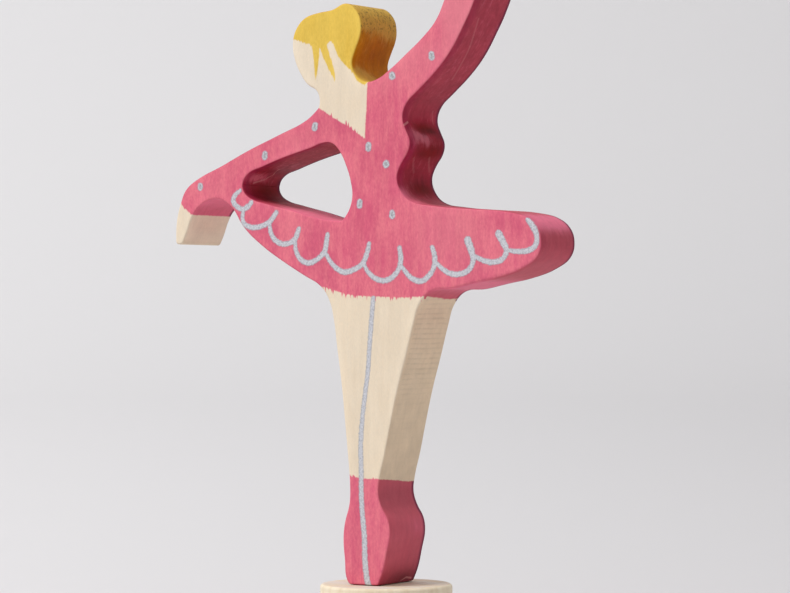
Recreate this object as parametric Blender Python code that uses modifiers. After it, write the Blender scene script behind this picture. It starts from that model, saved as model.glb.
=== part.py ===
"""Ballerina figurine: a dancer sawn from a flat board, standing on a small turned disc.

Metres, +Z up. The board stands in the XZ plane with its painted front towards -Y, and the
origin is the centre of the disc's underside.
"""

import math

import bpy

# Driving sizes in metres
FIGURE_HEIGHT = 0.0952
BOARD_THICKNESS = 0.0100
RIM_ROUNDING = 0.0003
BASE_DIAMETER = 0.0188
BASE_HEIGHT = 0.0080
BASE_RIM_ROUNDING = 0.0005
SEAT_GAP = 0.0003

# Fineness of the faceted solids
OUTLINE_STEPS = 3
RIM_SEGMENTS = 2
BASE_STEPS = 64
BASE_RIM_STEPS = 4
WELD_DISTANCE = 0.00001

COLLECTION_NAME = "ballerina_figurine"

# The outline, in shares of a drawing this many units high above the sole. Each stretch is one
# smooth saw cut, its points are (across, up), and two stretches meet in a corner. They run
# anticlockwise as the front is seen.
DRAWN_HEIGHT = 95.2

LOWERED_ARM_TOP = [
    (-8.2, 67.5), (-10.1, 65.9), (-14.7, 63.9), (-20.2, 61.7), (-25.0, 59.5),
    (-29.1, 57.7), (-31.1, 56.2), (-32.0, 54.3), (-32.75, 51.5), (-32.85, 48.35),
]
LOWERED_HAND_TIP = [(-32.85, 48.35), (-31.7, 48.25)]
SLEEVE_ARCH = [
    (-31.7, 48.25), (-30.85, 50.0), (-30.15, 51.8), (-29.2, 53.3), (-27.9, 54.25),
    (-26.3, 54.8), (-24.6, 54.55), (-22.7, 53.1),
]
SKIRT_LEFT_AND_LEG = [
    (-22.7, 53.1), (-21.0, 50.6), (-18.1, 48.1), (-14.4, 45.7), (-10.5, 43.5),
    (-8.0, 42.1), (-6.6, 40.3), (-5.7, 37.2), (-5.2, 33.6), (-4.5, 28.5),
    (-3.9, 23.0), (-3.4, 18.0), (-3.1, 14.0), (-3.2, 11.2), (-3.9, 8.7),
    (-4.15, 6.4), (-3.9, 3.2), (-3.7, 0.9), (-3.2, 0.0),
]
SOLE = [(-3.2, 0.0), (1.6, 0.0)]
SHOE_AND_LEG_RIGHT = [
    (1.6, 0.0), (2.4, 1.8), (3.1, 4.7), (3.6, 7.3), (3.3, 9.2), (2.3, 10.9),
    (1.7, 12.8), (1.9, 14.9), (2.7, 18.1), (3.7, 22.7), (4.9, 27.6), (6.2, 32.0),
    (7.5, 36.8), (8.4, 39.4), (10.4, 41.3), (13.5, 41.6), (17.5, 42.4),
    (21.5, 43.2), (25.1, 44.5), (27.2, 46.1), (27.7, 48.2), (27.1, 50.0),
    (25.5, 51.35), (22.4, 52.2), (16.7, 52.7), (10.0, 53.3), (6.8, 54.0),
    (5.3, 55.5), (4.8, 57.3), (5.4, 59.0), (6.6, 60.8), (6.9, 62.3), (6.3, 63.8),
    (5.7, 65.5), (6.3, 67.5), (8.2, 69.3), (10.8, 71.6), (13.3, 74.4),
    (15.4, 77.8), (17.1, 81.1), (18.4, 85.0), (18.2, 88.6), (16.4, 91.8),
    (13.9, 94.1), (11.4, 95.2),
]
RAISED_HAND_TIP = [(11.4, 95.2), (11.0, 94.1)]
RAISED_ARM_INSIDE = [
    (11.0, 94.1), (12.4, 91.9), (13.5, 89.6), (13.8, 86.8), (13.2, 84.0),
    (12.3, 81.6), (10.9, 78.9), (8.9, 76.8), (6.1, 74.5), (3.4, 72.4),
    (1.4, 71.2), (-0.4, 70.9), (-1.9, 71.8), (-2.6, 73.6), (-2.1, 75.3),
    (-1.3, 77.2), (-1.1, 78.9), (-1.7, 80.8), (-3.7, 82.1), (-5.9, 81.3),
    (-8.4, 80.95), (-10.6, 80.3), (-12.1, 78.7), (-12.6, 76.9), (-12.3, 74.6),
    (-11.3, 72.4), (-10.1, 70.8), (-8.6, 69.9), (-8.1, 68.6), (-8.2, 67.5),
]
OUTLINE = [
    LOWERED_ARM_TOP, LOWERED_HAND_TIP, SLEEVE_ARCH, SKIRT_LEFT_AND_LEG, SOLE,
    SHOE_AND_LEG_RIGHT, RAISED_HAND_TIP, RAISED_ARM_INSIDE,
]

# The opening between the lowered arm, the body and the skirt, a loop with one corner
ARM_OPENING = [[
    (-4.4, 51.25), (-8.0, 51.65), (-12.5, 52.85), (-17.1, 54.0), (-19.6, 54.75),
    (-20.9, 55.8), (-21.1, 57.0), (-20.2, 58.3), (-17.9, 59.2), (-14.0, 60.5),
    (-9.6, 61.7), (-7.3, 62.4), (-6.0, 62.3), (-4.8, 61.2), (-3.7, 59.1),
    (-2.9, 56.6), (-2.7, 54.7), (-3.25, 52.8), (-4.4, 51.25),
]]


def clear_objects():
    """Removes every object of the open scene."""
    for thing in list(bpy.data.objects):
        bpy.data.objects.remove(thing, do_unlink=True)


def new_material(name, colour, roughness, metallic=0.0):
    """Returns a Principled BSDF material of one plain finish."""
    material = bpy.data.materials.new(name)
    material.use_nodes = True
    shader = material.node_tree.nodes["Principled BSDF"]
    shader.inputs["Base Color"].default_value = (*colour, 1.0)
    shader.inputs["Roughness"].default_value = roughness
    shader.inputs["Metallic"].default_value = metallic
    return material


def add_loop(curve, stretches, scale):
    """Adds one closed Bezier spline that is smooth along each stretch and turns where two meet."""
    points = []
    for stretch in stretches:
        points.append((stretch[0], True))
        points.extend((point, False) for point in stretch[1:-1])
    spline = curve.splines.new("BEZIER")
    spline.bezier_points.add(len(points) - 1)
    spline.use_cyclic_u = True
    for knot, ((across, up), corner) in zip(spline.bezier_points, points):
        knot.co = (across * scale, up * scale, 0.0)
        knot.handle_left_type = "VECTOR" if corner else "AUTO"
        knot.handle_right_type = "VECTOR" if corner else "AUTO"


def make_figure(collection):
    """Saws the dancer out of the board and rounds both rims a little."""
    curve = bpy.data.curves.new("ballerina_outline", "CURVE")
    curve.dimensions = "2D"
    curve.fill_mode = "BOTH"
    curve.extrude = BOARD_THICKNESS / 2 - RIM_ROUNDING
    curve.bevel_depth = RIM_ROUNDING
    curve.bevel_resolution = RIM_SEGMENTS - 1
    curve.offset = -RIM_ROUNDING
    curve.resolution_u = OUTLINE_STEPS
    scale = FIGURE_HEIGHT / DRAWN_HEIGHT
    add_loop(curve, OUTLINE, scale)
    add_loop(curve, ARM_OPENING, scale)
    figure = bpy.data.objects.new("ballerina_figure", curve)
    figure.location = (0.0, 0.0, BASE_HEIGHT + SEAT_GAP)
    figure.rotation_euler = (math.pi / 2, 0.0, 0.0)
    collection.objects.link(figure)
    weld = figure.modifiers.new("join_caps", "WELD")
    weld.merge_threshold = WELD_DISTANCE
    curve.materials.append(new_material("pink_stained_wood", (0.73, 0.13, 0.20), 0.6))
    return figure


def base_profile():
    """Returns half the disc's section, (radius, height), from its top centre to its bottom centre."""
    radius = BASE_DIAMETER / 2
    straight = radius - BASE_RIM_ROUNDING
    profile = [(0.0, BASE_HEIGHT)]
    for centre_height, start in ((BASE_HEIGHT - BASE_RIM_ROUNDING, math.pi / 2), (BASE_RIM_ROUNDING, 0.0)):
        for step in range(BASE_RIM_STEPS + 1):
            angle = start - math.pi / 2 * step / BASE_RIM_STEPS
            profile.append((
                straight + BASE_RIM_ROUNDING * math.cos(angle),
                centre_height + BASE_RIM_ROUNDING * math.sin(angle),
            ))
    profile.append((0.0, 0.0))
    return profile


def make_base(collection):
    """Turns the round disc from its half section."""
    section = [(radius, 0.0, height) for radius, height in base_profile()]
    mesh = bpy.data.meshes.new("round_base")
    mesh.from_pydata(section, [(i, i + 1) for i in range(len(section) - 1)], [])
    base = bpy.data.objects.new("round_base", mesh)
    collection.objects.link(base)
    turning = base.modifiers.new("turning", "SCREW")
    turning.axis = "Z"
    turning.steps = BASE_STEPS
    turning.render_steps = BASE_STEPS
    turning.use_merge_vertices = True
    turning.merge_threshold = WELD_DISTANCE
    turning.use_smooth_shade = True
    mesh.materials.append(new_material("bare_wood", (0.80, 0.69, 0.52), 0.65))
    return base


def main():
    """Builds the figurine."""
    clear_objects()
    collection = bpy.data.collections.new(COLLECTION_NAME)
    bpy.context.scene.collection.children.link(collection)
    make_base(collection)
    make_figure(collection)


main()
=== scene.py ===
"""The looks of a ballerina figurine: a stained limewood dancer on a small turned disc.

Lengths on the board are in millimetres, across from the disc's middle and up from the sole. The
frame, the meshes and the studio are in metres. The painted front faces -Y.
"""

import logging
import math
from dataclasses import dataclass, field
from enum import Enum
from functools import reduce
from typing import Any, Iterable, Optional, Sequence, Union

import bpy
import numpy as np
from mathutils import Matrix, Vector
from mathutils.geometry import delaunay_2d_cdt
from mathutils.kdtree import KDTree


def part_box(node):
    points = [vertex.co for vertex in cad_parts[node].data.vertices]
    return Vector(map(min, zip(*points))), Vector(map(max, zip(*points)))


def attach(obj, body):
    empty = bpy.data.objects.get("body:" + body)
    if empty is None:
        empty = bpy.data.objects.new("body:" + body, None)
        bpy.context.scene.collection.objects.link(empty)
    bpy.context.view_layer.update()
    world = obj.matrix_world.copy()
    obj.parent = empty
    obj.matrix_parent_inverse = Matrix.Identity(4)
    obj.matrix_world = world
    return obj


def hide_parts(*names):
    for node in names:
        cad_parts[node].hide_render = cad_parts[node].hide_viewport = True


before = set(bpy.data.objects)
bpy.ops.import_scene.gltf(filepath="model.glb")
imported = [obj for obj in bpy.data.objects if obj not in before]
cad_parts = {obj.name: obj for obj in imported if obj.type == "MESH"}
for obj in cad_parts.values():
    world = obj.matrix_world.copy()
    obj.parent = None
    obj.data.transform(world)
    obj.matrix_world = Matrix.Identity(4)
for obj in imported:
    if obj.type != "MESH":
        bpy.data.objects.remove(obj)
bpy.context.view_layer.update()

MM = 0.001
BODY = "root"
FAR_AWAY = 9.0
LOG = logging.getLogger("ballerina")

Line = np.ndarray
Point = tuple[float, float]
Colour = tuple[float, float, float]


class Face(Enum):
    """The two painted faces of the board, by the way that each looks along Y."""

    FRONT = -1.0
    BACK = 1.0


def from_screen(red: int, green: int, blue: int) -> Colour:
    """Turns a screen colour into the linear one that shaders use.

    Args:
        red: The red level, 0 to 255.
        green: The green level.
        blue: The blue level.

    Returns:
        The linear colour.
    """
    def linear(level: float) -> float:
        """Undoes the screen's curve for one level from 0 to 1."""
        return level / 12.92 if level <= 0.04045 else ((level + 0.055) / 1.055) ** 2.4

    return linear(red / 255), linear(green / 255), linear(blue / 255)


# Lines and distances on the board


def span_points(before: Line, start: Line, end: Line, after: Line, steps: int) -> Line:
    """Follows one span of a centripetal Catmull-Rom curve.

    Args:
        before: The point before the span.
        start: The span's first point.
        end: The span's last point.
        after: The point after the span.
        steps: How many points to return.

    Returns:
        Points from start up to, but not including, end.
    """
    first, middle, last = (
        max(float(np.linalg.norm(b - a)), 1e-6) ** 0.5
        for a, b in ((before, start), (start, end), (end, after))
    )
    leave = (start - before) / first - (end - before) / (first + middle) + (end - start) / middle
    arrive = (end - start) / middle - (after - start) / (middle + last) + (after - end) / last
    t = np.linspace(0, 1, steps, endpoint=False)[:, None]
    return (
        (2 * t**3 - 3 * t**2 + 1) * start
        + (t**3 - 2 * t**2 + t) * leave * middle
        + (3 * t**2 - 2 * t**3) * end
        + (t**3 - t**2) * arrive * middle
    )


def evenly(points: Line, spacing: float) -> Line:
    """Spaces points evenly along an open line, and keeps its two ends.

    Args:
        points: The line's points in order.
        spacing: About how far apart they should be.

    Returns:
        The new points.
    """
    steps = np.linalg.norm(np.diff(points, axis=0), axis=1)
    along = np.concatenate([[0.0], np.cumsum(steps)])
    count = max(int(round(along[-1] / spacing)), 1)
    at = np.linspace(0, along[-1], count + 1)
    return np.column_stack([np.interp(at, along, points[:, axis]) for axis in (0, 1)])


def smooth_through(points: Union[Sequence[Point], Line], spacing: float) -> Line:
    """Draws a smooth open line through points.

    Args:
        points: The points to pass through.
        spacing: The distance between the returned points.

    Returns:
        Evenly spaced points along the line.
    """
    given = np.asarray(points, float)
    if len(given) == 2:
        return evenly(given, spacing)
    ends = 2 * given[0] - given[1], 2 * given[-1] - given[-2]
    padded = np.vstack([ends[0], given, ends[1]])
    spans = []
    for before, start, end, after in zip(padded, padded[1:], padded[2:], padded[3:]):
        steps = max(int(np.linalg.norm(end - start) / spacing * 2), 2)
        spans.append(span_points(before, start, end, after, steps))
    return evenly(np.vstack([*spans, given[-1:]]), spacing)


def nearest_numbers(marks: Line, points: Line) -> np.ndarray:
    """Finds the mark nearest to each point.

    Args:
        marks: The marks.
        points: The points.

    Returns:
        The number of each point's nearest mark.
    """
    tree = KDTree(len(marks))
    for number, (across, up) in enumerate(marks):
        tree.insert((across, up, 0.0), number)
    tree.balance()
    return np.array([tree.find((across, up, 0.0))[1] for across, up in points], int)


def distance_to(line: Line, points: Line) -> np.ndarray:
    """Measures how far points are from a closed line whose points are evenly spaced.

    Args:
        line: The line's points in order.
        points: The points to measure from.

    Returns:
        One distance for each point.
    """
    near = nearest_numbers(line, points)
    found = []
    for start in (near - 1, near):
        begin, finish = line[start % len(line)], line[(start + 1) % len(line)]
        way = finish - begin
        share = ((points - begin) * way).sum(1) / np.maximum((way**2).sum(1), 1e-12)
        gap = points - begin - np.clip(share, 0, 1)[:, None] * way
        found.append(np.hypot(*gap.T))
    return np.minimum(*found)


def is_inside(loop: Line, points: Line) -> np.ndarray:
    """Tells which points lie inside a closed line.

    Args:
        loop: The line's points in order.
        points: The points to test.

    Returns:
        Whether each point is inside.
    """
    found = np.zeros(len(points), bool)
    near = np.flatnonzero(((points > loop.min(0)) & (points < loop.max(0))).all(1))
    across, up = points[near].T
    inside = np.zeros(len(near), bool)
    for start, end in zip(loop, np.roll(loop, -1, axis=0)):
        if start[1] == end[1]:
            continue
        crosses = (start[1] > up) != (end[1] > up)
        share = (up - start[1]) / (end[1] - start[1])
        inside ^= crosses & (across < start[0] + share * (end[0] - start[0]))
    found[near] = inside
    return found


def signed_distance(loop: Line, points: Line) -> np.ndarray:
    """Measures how far points are from a closed line, below 0 inside it."""
    return distance_to(loop, points) * np.where(is_inside(loop, points), -1.0, 1.0)


def smooth_step(values: np.ndarray, low: float, high: float) -> np.ndarray:
    """Runs smoothly from 0 at low to 1 at high."""
    share = np.clip((values - low) / (high - low), 0, 1)
    return share * share * (3 - 2 * share)


# What is painted where


@dataclass(frozen=True)
class Zone:
    """A stained or bare part of a face.

    Its edge shows along the stretches, and it is closed by corners beyond the wood. The spacing is
    that of the edge's points, and ragged says how far the stain creeps over it.
    """

    stretches: tuple[tuple[Point, ...], ...]
    beyond: tuple[Point, ...]
    spacing: float = 0.3
    ragged: float = 1.0

    def edge(self) -> Line:
        """Returns the edge that shows on the wood, as one line."""
        return np.vstack([smooth_through(stretch, self.spacing) for stretch in self.stretches])

    def distances(self, points: Line) -> np.ndarray:
        """Measures how far points are from the zone.

        Args:
            points: The points to measure from.

        Returns:
            The distances, below 0 in the zone.
        """
        edge = self.edge()
        outer = np.vstack([edge, *np.reshape(self.beyond, (-1, 2)), edge[:1]])
        return signed_distance(evenly(outer, self.spacing)[:-1], points)


@dataclass(frozen=True)
class Stroke:
    """One stroke of silver paint along a smooth line, with its widths from start to end."""

    route: tuple[Point, ...]
    widths: tuple[float, ...] = (0.75,)
    spacing: float = 0.05

    def line(self) -> Line:
        """Returns the stroke's middle line."""
        return smooth_through(self.route, self.spacing)

    def distances(self, points: Line) -> np.ndarray:
        """Measures how far points are from the paint's edge.

        Args:
            points: The points to measure from.

        Returns:
            The distances, below 0 in the paint.
        """
        line = self.line()
        along = np.linspace(0, 1, len(line))
        halves = np.interp(along, np.linspace(0, 1, len(self.widths)), self.widths) / 2
        near = nearest_numbers(line, points)
        return np.hypot(*(points - line[near]).T) - halves[near]


CHEST_AND_HEAD = Zone(
    stretches=(
        ((-8.3, 67.5), (-6.4, 66.3), (-5.3, 65.7), (-3.8, 64.9), (-2.6, 64.2), (-0.4, 62.7)),
        ((-0.4, 62.7), (-0.3, 65.0), (-0.15, 67.5), (0.0, 71.0)),
    ),
    beyond=((0.0, 90.0), (-20.0, 90.0), (-20.0, 68.6), (-9.4, 68.4)),
)
LOWERED_HAND = Zone(
    stretches=(((-32.4, 55.2), (-31.6, 54.0), (-30.7, 53.2), (-29.8, 52.6), (-28.6, 52.4)),),
    beyond=((-27.0, 46.0), (-36.0, 46.0), (-36.0, 56.0)),
    ragged=0.3,
)
RAISED_HAND = Zone(
    stretches=(((11.5, 89.7), (13.4, 90.4), (15.4, 91.5), (17.6, 92.4), (19.5, 92.6)),),
    beyond=((19.5, 99.0), (8.0, 99.0), (8.0, 91.0)),
)
UPPER_LEGS = Zone(
    stretches=((
        (-9.0, 42.1), (-7.5, 42.0), (-6.2, 41.7), (-4.7, 41.3), (-3.1, 40.9), (-0.5, 40.7),
        (2.0, 40.6), (5.3, 40.45), (8.3, 40.6), (10.0, 40.7), (13.0, 40.7),
    ),),
    beyond=((13.0, 24.0), (-9.0, 24.0)),
)
LOWER_LEGS = Zone(
    stretches=(((13.0, 15.0), (2.0, 14.9), (0.0, 14.85), (-2.1, 15.05), (-6.0, 15.1)),),
    beyond=((-9.0, 15.1), (-9.0, 30.0), (13.0, 30.0)),
    ragged=0.4,
)
FRONT_HAIR = Zone(
    stretches=(
        ((-14.0, 77.6), (-12.5, 77.35), (-11.4, 77.1), (-10.6, 76.9), (-9.4, 76.4)),
        ((-9.4, 76.4), (-9.15, 75.2), (-9.0, 73.6), (-8.85, 72.2), (-8.7, 71.1)),
        ((-8.7, 71.1), (-8.4, 72.4), (-8.1, 74.2), (-7.95, 76.0)),
        ((-7.95, 76.0), (-7.5, 74.8), (-6.6, 73.0), (-5.75, 71.6), (-5.4, 71.1)),
        ((-5.4, 71.1), (-5.4, 72.2), (-5.75, 73.5), (-6.3, 74.9), (-6.75, 76.3)),
        ((-6.75, 76.3), (-6.2, 76.8), (-5.8, 76.5)),
        (
            (-5.8, 76.5), (-5.2, 75.1), (-4.3, 73.8), (-3.4, 73.0), (-2.6, 72.3),
            (-1.9, 71.2), (-1.1, 70.6), (-0.5, 70.4), (0.1, 70.9),
        ),
    ),
    beyond=((0.25, 71.6), (0.7, 73.0), (3.2, 76.5), (4.0, 86.0), (-16.0, 86.0)),
    spacing=0.15,
)
BACK_HAIR = Zone(
    stretches=(
        (
            (-14.0, 77.6), (-12.5, 77.3), (-11.2, 76.0), (-9.9, 73.9), (-8.3, 72.3),
            (-6.2, 71.1), (-3.9, 70.3), (-1.9, 70.1), (-0.5, 70.5), (0.1, 70.9),
        ),
    ),
    beyond=FRONT_HAIR.beyond,
)

# Each loop of the hem runs down, round and up, and most end in a short tail
HEM_LOOPS = (
    ((-21.55, 55.95), (-22.35, 55.35), (-22.75, 54.6), (-22.3, 53.8), (-21.2, 53.25),
     (-20.2, 53.6), (-19.6, 54.2)),
    ((-20.9, 53.2), (-21.15, 52.2), (-20.9, 51.2), (-19.6, 50.6), (-18.1, 50.7), (-16.5, 51.35),
     (-15.3, 52.7)),
    ((-16.5, 51.4), (-16.4, 50.2), (-15.8, 49.0), (-14.7, 48.25), (-13.4, 48.2), (-12.2, 48.8),
     (-11.5, 50.3)),
    ((-12.1, 48.8), (-12.05, 47.4), (-11.3, 46.0), (-10.0, 45.4), (-8.6, 45.8), (-7.2, 47.0),
     (-6.9, 48.2), (-6.7, 49.4)),
    ((-7.1, 47.0), (-6.4, 45.8), (-5.2, 44.6), (-3.9, 44.05), (-2.3, 44.4), (-0.8, 45.3),
     (-0.1, 46.8), (0.2, 48.0)),
    ((-0.7, 45.2), (0.0, 44.1), (1.1, 43.2), (2.5, 42.8), (3.9, 43.2), (5.1, 44.5), (5.4, 45.8),
     (5.2, 47.4)),
    ((5.3, 45.1), (6.1, 44.1), (7.2, 43.1), (8.6, 42.7), (9.9, 43.4), (10.8, 44.8),
     (10.9, 46.0), (10.5, 47.4)),
    ((11.0, 45.4), (12.1, 44.4), (13.4, 43.75), (14.9, 43.65), (16.3, 44.2), (17.0, 45.4),
     (16.8, 46.7), (16.15, 48.35)),
    ((16.9, 46.3), (18.4, 45.6), (20.0, 45.25), (21.5, 45.6), (22.3, 46.7), (21.8, 47.9),
     (21.05, 49.15)),
    ((22.3, 46.9), (23.9, 46.7), (25.6, 46.8), (26.8, 47.5), (27.0, 48.8), (26.5, 49.9),
     (25.6, 51.0)),
)
LEG_SEAM = (
    (0.9, 40.35), (0.7, 38.5), (0.35, 34.5), (0.0, 30.2), (-0.4, 27.3), (-0.9, 23.6), (-1.2, 19.5),
    (-1.1, 16.0), (-1.1, 13.0), (-0.95, 10.2), (-0.6, 6.8), (-0.5, 3.6), (-0.2, 0.9), (0.1, -0.2),
)
SEAM_WIDTHS = (0.74, 0.72, 0.80, 0.95)
HEM_WIDTHS = (0.58, 0.72, 0.80, 0.80, 0.76, 0.84, 0.70)
FAT_TAIL_LOOPS = (7, 8)
FAT_TAIL_WIDTHS = (1.035, 1.15)
LOOP_WIDTH = 1.03
DROP_TAPER = 0.94

# Drops of silver: where each sits, how wide, how tall and how far it leans
DROPS = (
    (-28.5, 56.65, 0.95, 1.25, 0.10), (-17.3, 60.9, 1.00, 1.40, 0.15),
    (-8.8, 64.8, 1.00, 1.40, 0.25), (4.0, 71.55, 1.12, 1.25, -0.10),
    (10.4, 74.1, 1.00, 1.40, -0.10), (0.1, 61.7, 1.00, 1.45, 0.05), (3.0, 59.2, 1.12, 1.25, 0.15),
    (-1.35, 53.7, 0.95, 1.50, 0.10), (4.0, 52.1, 1.00, 1.40, -0.05),
)


# A spot halfway through the board, and one that spreads all through it
HALFWAY = 4.7
THROUGH = 30.0


@dataclass(frozen=True)
class Spot:
    """A soft spot: its place, reach and strength, and how far inward it lies and spreads."""

    across: float
    up: float
    reach: float
    strength: float
    inward: float = HALFWAY
    spread: float = THROUGH

    def read(self, points: Line, inward: float) -> np.ndarray:
        """Returns the spot's strength at points that lie this far inward."""
        gap = np.hypot(points[:, 0] - self.across, points[:, 1] - self.up) / self.reach
        return self.strength * np.exp(-(gap**2) - ((inward - self.inward) / self.spread) ** 2)


@dataclass(frozen=True)
class Tones:
    """How strong something is along the saw cuts: by height, then more or less round some spots."""

    heights: tuple[float, ...]
    strengths: tuple[float, ...]
    spots: tuple[Spot, ...] = ()

    def read(self, points: Line, inward: float) -> np.ndarray:
        """Returns the strength at each point.

        Args:
            points: The points.
            inward: How far behind the front face they all lie, in millimetres.

        Returns:
            One strength for each point, from -1 to 2.
        """
        found = np.interp(points[:, 1], self.heights, self.strengths)
        for spot in self.spots:
            found = found + spot.read(points, inward)
        return np.clip(found, -1, 2)


# How deep the pink stain is on the walls, with painted shade that deepens it inside the recesses at
# the waist, armpit and lowered arm, and painted light that thins it near the front of the lower
# recess and under the sleeves. Above 1 it runs into the deepest colour, which is painted shade.
DEEP_STAIN_AND_SHADE_PLACES = Tones(
    heights=(0.0, 3.0, 6.0, 50.0, 53.0, 57.0, 64.0, 68.0, 92.0),
    strengths=(0.45, 0.05, 0.0, 0.0, 0.35, 0.95, 0.95, 0.66, 0.62),
    spots=(
        Spot(27.8, 48.3, 2.2, 0.30),
        Spot(-26.0, 54.6, 4.0, -0.7),
        Spot(-9.0, 52.3, 5.5, -0.9),
        Spot(5.6, 55.0, 1.2, -0.5, 0.0, 1.4),
        Spot(7.4, 53.8, 1.5, -0.40, 0.8, 2.8),
        Spot(7.0, 62.4, 1.2, 0.3, 8.0, 3.0),
        Spot(6.1, 64.4, 0.9, 1.0, 5.5, 3.6),
        Spot(6.4, 61.0, 1.1, 0.85, 6.5, 3.6),
        Spot(5.7, 66.6, 1.5, 0.05, 3.0, 3.5),
        Spot(6.6, 60.6, 0.9, 0.35, 3.0, 4.0),
        Spot(5.2, 55.6, 1.2, 1.2, 6.5, 3.8),
        Spot(-21.0, 56.0, 1.1, 1.2, 6.5, 4.5),
        Spot(-19.6, 54.9, 1.1, 0.8, 6.0, 5.0),
    ),
)
# How thinly the stain went on, with painted light in most of its spots: the lit lip and lobe of the
# bun, the lit crest of the waist's bulge, the front of the lower recess, walls under the arms and
# skirt that catch light, and a painted sheen at the skirt's tip.
PALE_STAIN_AND_LIT_PLACES = Tones(
    heights=(0.0, 66.0, 70.0, 100.0),
    strengths=(0.0, 0.0, 0.12, 0.12),
    spots=(
        Spot(-1.4, 80.7, 2.1, 1.5, 3.5, 8.0),
        Spot(-1.2, 79.2, 1.9, 0.8, 9.4, 3.0),
        Spot(-1.8, 71.8, 1.1, 1.5, 0.8, 2.8),
        Spot(-0.6, 70.9, 1.6, 1.5, 0.5, 3.4),
        Spot(-26.5, 55.0, 3.5, 0.8),
        Spot(-31.0, 50.6, 2.6, 1.0),
        Spot(6.35, 63.6, 0.75, 0.70, 1.0, 1.6),
        Spot(6.6, 63.15, 0.75, 0.65, 3.0, 1.8),
        Spot(6.8, 62.6, 0.80, 0.60, 5.0, 1.8),
        Spot(6.9, 62.1, 0.65, 0.25, 7.0, 1.6),
        Spot(6.85, 62.3, 0.8, 0.40, 1.2, 2.2),
        Spot(5.4, 55.2, 1.2, 0.8, 0.2, 1.4),
        Spot(7.4, 53.8, 1.6, 0.45, 0.8, 2.8),
        Spot(4.9, 59.4, 0.8, 0.25, 4.0, 2.5),
        Spot(-8.5, 52.2, 6.5, 1.2),
        Spot(26.2, 51.1, 2.0, 1.1, 2.0),
        Spot(15.0, 42.0, 5.0, 1.0),
        Spot(3.4, 8.0, 2.0, 0.35, 8.0, 3.0),
        Spot(-20.5, 57.9, 0.9, 0.85, 2.0, 3.5),
        Spot(-17.5, 59.3, 2.0, 0.35, 6.0, 4.0),
    ),
)
# Painted light and shade on the walls: darker in the recesses at the waist and armpit, at the
# shoe's neck and foot and at the skirt's tip; lighter on the legs, the bulge at the waist, the
# walls under the sleeves and skirt, and the bun.
PAINTED_LIGHT_AND_SHADE_PLACES = Tones(
    heights=(18.0, 28.0, 40.0, 42.0),
    strengths=(0.0, 0.07, 0.10, 0.0),
    spots=(
        Spot(1.8, 12.6, 1.4, -0.16),
        Spot(2.2, 11.2, 0.6, -0.06, 6.0),
        Spot(3.2, 9.4, 0.8, 0.05),
        Spot(2.1, 0.5, 1.4, -0.50, 7.0, 5.0),
        Spot(4.9, 56.0, 1.2, -0.28, 6.0, 5.0),
        Spot(6.25, 64.0, 0.55, -0.45, 6.4, 2.6),
        Spot(6.6, 63.2, 0.6, -0.25, 9.0, 1.5),
        Spot(5.5, 59.4, 2.0, 0.10),
        Spot(13.0, 74.0, 6.0, 0.05),
        Spot(6.9, 61.6, 0.6, -0.12, 5.0, 6.0),
        Spot(-9.0, 52.2, 5.5, 0.08),
        Spot(-19.6, 55.1, 1.3, -0.30, 6.0, 6.0),
        Spot(-12.5, 52.9, 4.5, 0.10),
        Spot(27.8, 48.2, 1.8, -0.08),
        Spot(-26.5, 55.0, 3.5, 0.12),
        Spot(-31.0, 50.6, 2.6, 0.06),
        Spot(16.0, 42.2, 6.0, 0.14),
        Spot(27.0, 50.6, 1.6, 0.10, 3.0),
        Spot(-20.5, 57.9, 1.3, 0.36, 3.0, 5.0),
        Spot(-3.4, 81.9, 1.2, 0.10),
        Spot(-1.3, 71.2, 1.2, 0.14, 0.8, 2.8),
    ),
)
FADED_PLACES = Tones(
    heights=(0.0, 68.0, 78.0, 100.0),
    strengths=(0.0, 0.0, 0.8, 0.8),
    spots=(
        Spot(-12.0, 62.0, 3.5, 0.30, 0.0),
        Spot(-27.0, 57.0, 3.0, 0.20, 0.0),
        Spot(13.0, 49.5, 6.0, 0.42, 0.0),
        Spot(-13.0, 51.0, 4.0, 0.15, 0.0),
        Spot(10.2, 77.6, 2.2, -0.65, 0.0),
    ),
)
SAWN_PLACES = Tones(
    heights=(0.0, 18.0, 26.0, 31.0, 38.0, 40.5, 42.0, 100.0),
    strengths=(0.06, 0.06, 0.30, 1.0, 1.0, 0.35, 0.10, 0.14),
)
CREPT_PLACES = Tones(
    heights=(0.0, 100.0),
    strengths=(0.0, 0.0),
    spots=(Spot(1.8, 15.0, 5.0, 0.75, 10.0, 7.0), Spot(9.0, 40.7, 3.5, -0.35, 8.0, 6.0)),
)
# Of these fields, light is painted light and shade, and deep and pale carry some of it too.
TONES = {
    "deep": DEEP_STAIN_AND_SHADE_PLACES, "pale": PALE_STAIN_AND_LIT_PLACES, "light": PAINTED_LIGHT_AND_SHADE_PLACES, "faded": FADED_PLACES,
    "sawn": SAWN_PLACES, "crept": CREPT_PLACES,
}


@dataclass(frozen=True)
class Scratch:
    """A thin pale mark on a wall, through points given as (across, up, inward)."""

    route: tuple[tuple[float, float, float], ...]
    width: float
    strength: float


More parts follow.
